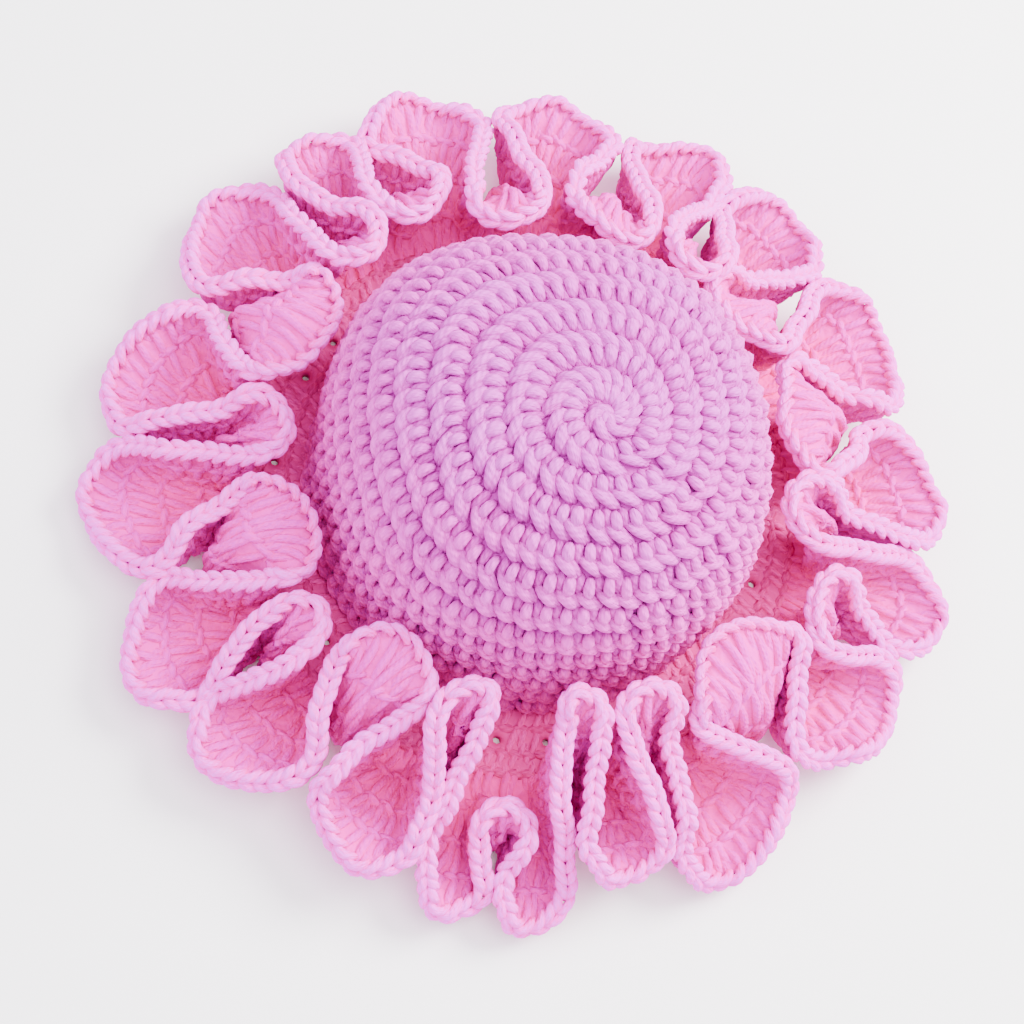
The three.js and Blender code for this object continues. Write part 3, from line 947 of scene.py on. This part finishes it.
class HAT_OT_brim(bpy.types.Operator):
    """Work the brim's rounds of open stitches over a backing with eyelets"""

    bl_idname = "hat.brim"
    bl_label = "Brim"

    # each round's inner and outer edge as shares of the brim's width, its stitches between two
    # eyelets, and how far they keep from an eyelet as a share of the way to the next one
    ROUNDS = (
        (0.0, 0.3, 3, 0.0),
        (0.3, 0.7, 4, 0.23),
        (0.7, 1.0, 4, 0.0),
    )
    # how far the stitches reach past the brim's edges, and the posts' thickness, in yarn radii
    OVERLAP = 0.5
    POST_THICKNESS = 0.86
    # how far the stitches stand over the brim's middle, and the backing lies under it
    LIFT = UP * 0.0004

    def execute(self, context):
        sizes = context.scene.hat_sizes
        colours = context.scene.hat_colours
        radius = sizes.yarn_radius
        inner = sizes.crown_radius - self.OVERLAP * radius
        outer = sizes.brim_radius + self.OVERLAP * radius
        level = UP * (sizes.brim_thickness / 2)

        def brim_frame(share, rise):
            turn = 2 * math.pi * share
            outward = radial(turn)
            here = AXIS + level + outward * blend(inner, outer, rise)[..., None]
            along = np.stack([-np.sin(turn), np.cos(turn), np.zeros_like(turn)], axis=-1)
            return here, along, outward, np.broadcast_to(UP, here.shape)

        yarn = Yarn(stations=7, sides=6, seed=23)
        for low, high, per_eyelet, open_share in self.ROUNDS:
            count = sizes.eyelet_count * per_eyelet
            # in eyelets' steps from the nearest one, so the posts beside it can stand clear of it
            place = (np.arange(count) + 0.5) / per_eyelet
            aside = place - np.round(place)
            aside = np.sign(aside) * blend(open_share, 0.5, 2 * np.abs(aside))
            uneven = yarn.random.normal(0, 0.03, count)
            foot = (np.round(place) + aside + uneven) / sizes.eyelet_count
            phase = yarn.random.random(count) * 2 * math.pi
            strands, out, rise, swell = post_lines(
                brim_frame, foot, foot, low, high, radius, yarn.strand.stations, phase)
            for line, buried in strands:
                thick = self.POST_THICKNESS * radius * swell
                # painted shade, deeper where the strands lie between each other
                yarn.add(line + self.LIFT, thick, out, 0.1 + buried)
            self.add_chain(yarn, brim_frame, count, low, high, radius)
        stitches = yarn.make("brim_stitches")
        material = yarn_material("brim_yarn", colours.brim, colours.brim_deep)
        finish_piece(stitches, material, "brim_yarn", "brim")
        self.back(sizes, colours, brim_frame, blend(inner, outer, 0.5))
        return {"FINISHED"}

    def back(self, sizes, colours, brim_frame, ring):
        """The fabric under the stitches, with a round hole at each eyelet. Its painted shade is
        full at an eyelet's rim, standing in for the shadow in the hole, and half away from it.
        """
        step = 2 * math.pi / sizes.eyelet_count
        hole = sizes.eyelet_radius

        def eyelet(point):
            angle = np.arctan2(point[..., 1] - AXIS[1], point[..., 0] - AXIS[0])
            return AXIS + radial(np.round(angle / step) * step) * ring

        def away(point):
            return np.linalg.norm((point - eyelet(point))[..., :2], axis=-1)

        def place(around, rise):
            here, _, _, _ = brim_frame(around, rise)
            # painted shadow of the eyelets: full painted shade at a hole's rim, half further out
            return here - self.LIFT, 1 - smoothstep(away(here), hole, 2.5 * hole) * 0.5

        def pierce(sheet):
            reach = 0.8 * hole
            inside = []
            for face in sheet.faces:
                if away(np.array(face.calc_center_median())) < reach:
                    inside.append(face)
            bmesh.ops.delete(sheet, geom=inside, context="FACES")
            for vert in sheet.verts:
                point = np.array(vert.co)
                if vert.is_boundary and away(point) < 2 * hole:
                    centre = eyelet(point)
                    level = (point - centre) * [1, 1, 0]
                    vert.co = centre + unit(level) * hole + UP * point[2]

        columns = sizes.eyelet_count * 16
        add_backing("brim", colours.brim, colours.brim_deep, columns, 24, 0.004, place, pierce)

    def add_chain(self, yarn, brim_frame, count, low, high, radius):
        along, up, out, thick = along_line(CHAIN_LUMP, yarn.strand.stations)
        share = (np.arange(count)[:, None] + along) / count
        here, _, _, normal = brim_frame(share, blend(low, high, up))
        lines = here + normal * (out * radius * 0.8)[:, None]
        # painted shade, deeper where the chain sinks into the fabric
        yarn.add(lines, thick * radius, normal, 0.75 - 0.25 * out)


class HAT_OT_ruffle(bpy.types.Operator):
    """Work the ruffle's rows of tall stitches, each row wider than the one below"""

    bl_idname = "hat.ruffle"
    bl_label = "Ruffle"

    # each row's foot and top as shares of the way to the free edge, its stitches in a fold, and
    # its piece
    ROWS = (
        (0.0, 0.27, 8, "inner"),
        (0.27, 0.52, 15, "inner"),
        (0.52, 0.77, 23, "inner"),
        (0.77, 1.04, 29, "outer"),
    )
    # how upright a post stands over the stitch that it is worked into, from 0 to 1
    UPRIGHT = 0.6
    # the posts' and the chains' thickness in yarn radii
    POST_THICKNESS = 1.06
    CHAIN_THICKNESS = 0.9
    # the backing reaches into the edging, as the last row does
    BACKING_REACH = 1.035
    # where the painted shade deep in the folds starts to fade and is gone, and how much of it a
    # flopped fold's crest loses, its face turned up to the light
    DEEP_TO = 0.12
    PALE_FROM = 0.98
    FLOPPED_PALER = 0.6

    def execute(self, context):
        sizes = context.scene.hat_sizes
        colours = context.scene.hat_colours
        radius = sizes.yarn_radius
        ruffle = Ruffle(sizes)
        seeds = {"inner": 37, "outer": 39}
        yarns = {piece: Yarn(stations=7, sides=6, seed=seed) for piece, seed in seeds.items()}
        chains = Yarn(stations=5, sides=6, seed=41)
        below = None
        for low, high, per_fold, piece in self.ROWS:
            posts = yarns[piece]
            count = len(FOLDS) * per_fold
            top = (np.arange(count) + 0.5) / count
            foot = top
            if below is not None:
                foot = (np.floor(top * below) + 0.5) / below
                foot = blend(foot, top, self.UPRIGHT)
            below = count
            phase = posts.random.random(count) * 2 * math.pi
            strands, out, rise, swell = post_lines(
                ruffle.frame, foot, top, low, high, radius, posts.strand.stations, phase)
            # painted shade of the folds
            deep = self.deepness(ruffle, top[:, None], rise)
            for line, buried in strands:
                # painted shade of the folds, and between the post's strands
                posts.add(line, self.POST_THICKNESS * radius * swell, out, deep + buried)
            if high < 1:
                self.add_chain(chains, ruffle, count, low, high, radius)
        material = yarn_material("ruffle_yarn", colours.ruffle, colours.ruffle_deep)
        for piece, posts in yarns.items():
            finish_piece(posts.make("ruffle_posts_" + piece), material, "ruffle_yarn", "ruffle")
        finish_piece(chains.make("ruffle_chains"), material, "ruffle_yarn", "ruffle")

        def place(around, rise):
            here, _, _, _ = ruffle.frame(around, rise * self.BACKING_REACH)
            # painted shade on the backing, never below 0.4
            return here, 0.4 + 0.6 * self.deepness(ruffle, around, rise)

        columns = len(FOLDS) * 30
        add_backing("ruffle", colours.ruffle, colours.ruffle_deep, columns, 14, 0.0014, place)
        return {"FINISHED"}

    def deepness(self, ruffle, share, rise):
        """The painted shade of the folds: 1 deep in a fold, 0 at the free edge. A flopped crest,
        whose face is turned up to the light, gets less of it.
        """
        over, swing = ruffle.fold_of(ruffle.edge.place_of(share))
        shown = 1 - self.FLOPPED_PALER * over * np.clip(swing, 0, 1)
        return (1 - smoothstep(rise, self.DEEP_TO, self.PALE_FROM)) * shown

    def add_chain(self, chains, ruffle, count, low, high, radius):
        along, up, out, thick = along_line(CHAIN_LUMP, chains.strand.stations)
        share = (np.arange(count)[:, None] + along) / count
        rise = blend(low, high, up)
        here, _, _, across = ruffle.frame(share, rise)
        deep = self.deepness(ruffle, share, rise)
        size = thick * radius * self.CHAIN_THICKNESS
        for side in (-1, 1):
            lines = here + across * (side * out * radius)[:, None]
            # painted shade of the folds, a little less where the chain stands out
            chains.add(lines, size, across * side, deep - 0.05 * out)


class HAT_OT_edging(bpy.types.Operator):
    """Plait the edging along the ruffle's free edge"""

    bl_idname = "hat.edging"
    bl_label = "Edging"

    # how uneven the plait is along the edge, outwards and in thickness
    UNEVEN = (0.04, 0.1, 0.05)
    # painted shade, deeper where a strand of the plait dips in, lighter where it stands out
    SHADE = 0.3

    def execute(self, context):
        sizes = context.scene.hat_sizes
        colours = context.scene.hat_colours
        radius = sizes.yarn_radius
        ruffle = Ruffle(sizes)
        yarn = Yarn(stations=8, sides=7, seed=53)
        count = len(FOLDS) * sizes.edge_stitches
        uneven = yarn.random.normal(0, 1, (count, 3)) * self.UNEVEN
        along, outward, aside, thick = along_line(EDGE_LEG, yarn.strand.stations)
        for side in (-1, 1):
            share = (np.arange(count)[:, None] + along + uneven[:, :1]) / count
            here, _, up, across = ruffle.frame(share, np.ones_like(share))
            lift = sizes.edging_radius + (outward + uneven[:, 1:2]) * radius
            lines = here + up * lift[..., None] + across * (side * aside * radius)[:, None]
            size = thick * radius * (1 + uneven[:, 2:3])
            out = unit(up + across * (0.8 * side))
            # painted shade, deeper where a strand dips in towards the sheet
            yarn.add(lines, size, out, self.SHADE - self.SHADE * outward)
        edging = yarn.make("ruffle_edging_plait")
        material = yarn_material("edging_yarn", colours.edging, colours.ruffle_deep)
        finish_piece(edging, material, "edging_yarn", "ruffle_edging")
        return {"FINISHED"}


class HAT_OT_stage(bpy.types.Operator):
    """Set out the pale floor, the soft lights and the camera"""

    bl_idname = "hat.stage"
    bl_label = "Stage"

    ELEVATION = 67.0
    ROLL = 30.0
    DISTANCE = 1.02
    LENS = 88.0
    AIM = Vector((-0.0146, -0.0202, 0.0))
    LIGHTS = (
        # name, angle in the plan, elevation, distance, size, watts, colour
        ("key_light", 50.0, 46.0, 1.3, 0.8, 62.0, (1.0, 0.98, 0.97)),
        ("fill_light", 215.0, 40.0, 1.5, 1.4, 20.0, (0.82, 0.70, 1.0)),
        ("top_light", 330.0, 78.0, 1.5, 1.0, 20.0, (1.0, 0.98, 1.0)),
    )

    def execute(self, context):
        colours = context.scene.hat_colours
        low, high = (Vector(corner) for corner in CAD_BOX)
        target = Vector(((low.x + high.x) / 2, (low.y + high.y) / 2, high.z * 0.35))
        self.add_floor(colours.floor)
        for light in self.LIGHTS:
            self.add_light(target, *light)
        world = context.scene.world or bpy.data.worlds.new("studio")
        context.scene.world = world
        world.use_nodes = True
        background = world.node_tree.nodes["Background"]
        background.inputs["Color"].default_value = (1.0, 0.99, 1.0, 1.0)
        background.inputs["Strength"].default_value = 1.9
        data = bpy.data.cameras.new("photo_camera")
        data.lens = self.LENS
        camera = link("photo_camera", data)
        away = self.direction(-90.0, self.ELEVATION)
        camera.location = target + away * self.DISTANCE
        turn = (-away).to_track_quat("-Z", "Y").to_matrix()
        roll = Matrix.Rotation(math.radians(self.ROLL), 3, "Z")
        camera.rotation_euler = (turn @ roll).to_euler()
        camera.location += turn @ roll @ self.AIM
        context.scene.camera = camera
        return {"FINISHED"}

    def direction(self, angle, elevation):
        plan = math.radians(angle)
        rise = math.radians(elevation)
        level = math.cos(rise)
        return Vector((level * math.cos(plan), level * math.sin(plan), math.sin(rise)))

    def add_light(self, target, name, angle, elevation, distance, size, watts, colour):
        data = bpy.data.lights.new(name, "AREA")
        data.shape = "DISK"
        data.size = size
        data.energy = watts
        data.color = colour
        light = link(name, data)
        away = self.direction(angle, elevation)
        light.location = target + away * distance
        light.rotation_euler = (-away).to_track_quat("-Z", "Y").to_euler()

    def add_floor(self, colour):
        ground = bmesh.new()
        bmesh.ops.create_grid(ground, x_segments=1, y_segments=1, size=4.0)
        floor = link_shape("floor", ground)
        shader = Shader("floor_paint", Roughness=0.9)
        grain = shader.noise(shader.coordinate("Object"), 60.0)
        pale = opaque(colour)
        dim = opaque([channel * 0.985 for channel in colour])
        floor.data.materials.append(shader.finish(Base_Color=shader.mix(pale, dim, grain)))


class HAT_PT_panel(bpy.types.Panel):
    """The hat's pieces, sizes and colours"""

    bl_idname = "HAT_PT_panel"
    bl_label = "Ruffle Hat"
    bl_space_type = "VIEW_3D"
    bl_region_type = "UI"
    bl_category = "Ruffle Hat"

    def draw(self, context):
        column = self.layout.column()
        for group in (context.scene.hat_sizes, context.scene.hat_colours):
            for name in group.__annotations__:
                column.prop(group, name)
        for operator in OPERATORS:
            column.operator(operator.bl_idname)


OPERATORS = (HAT_OT_crown, HAT_OT_brim, HAT_OT_ruffle, HAT_OT_edging, HAT_OT_stage)
CLASSES = (HatSizes, HatColours, *OPERATORS, HAT_PT_panel)


def register():
    for item in CLASSES:
        bpy.utils.register_class(item)
    bpy.types.Scene.hat_sizes = PointerProperty(type=HatSizes)
    bpy.types.Scene.hat_colours = PointerProperty(type=HatColours)


def unregister():
    del bpy.types.Scene.hat_colours
    del bpy.types.Scene.hat_sizes
    for item in reversed(CLASSES):
        bpy.utils.unregister_class(item)


def main():
    register()
    bpy.ops.hat.crown()
    bpy.ops.hat.brim()
    bpy.ops.hat.ruffle()
    bpy.ops.hat.edging()
    bpy.ops.hat.stage()


if __name__ == "__main__":
    main()
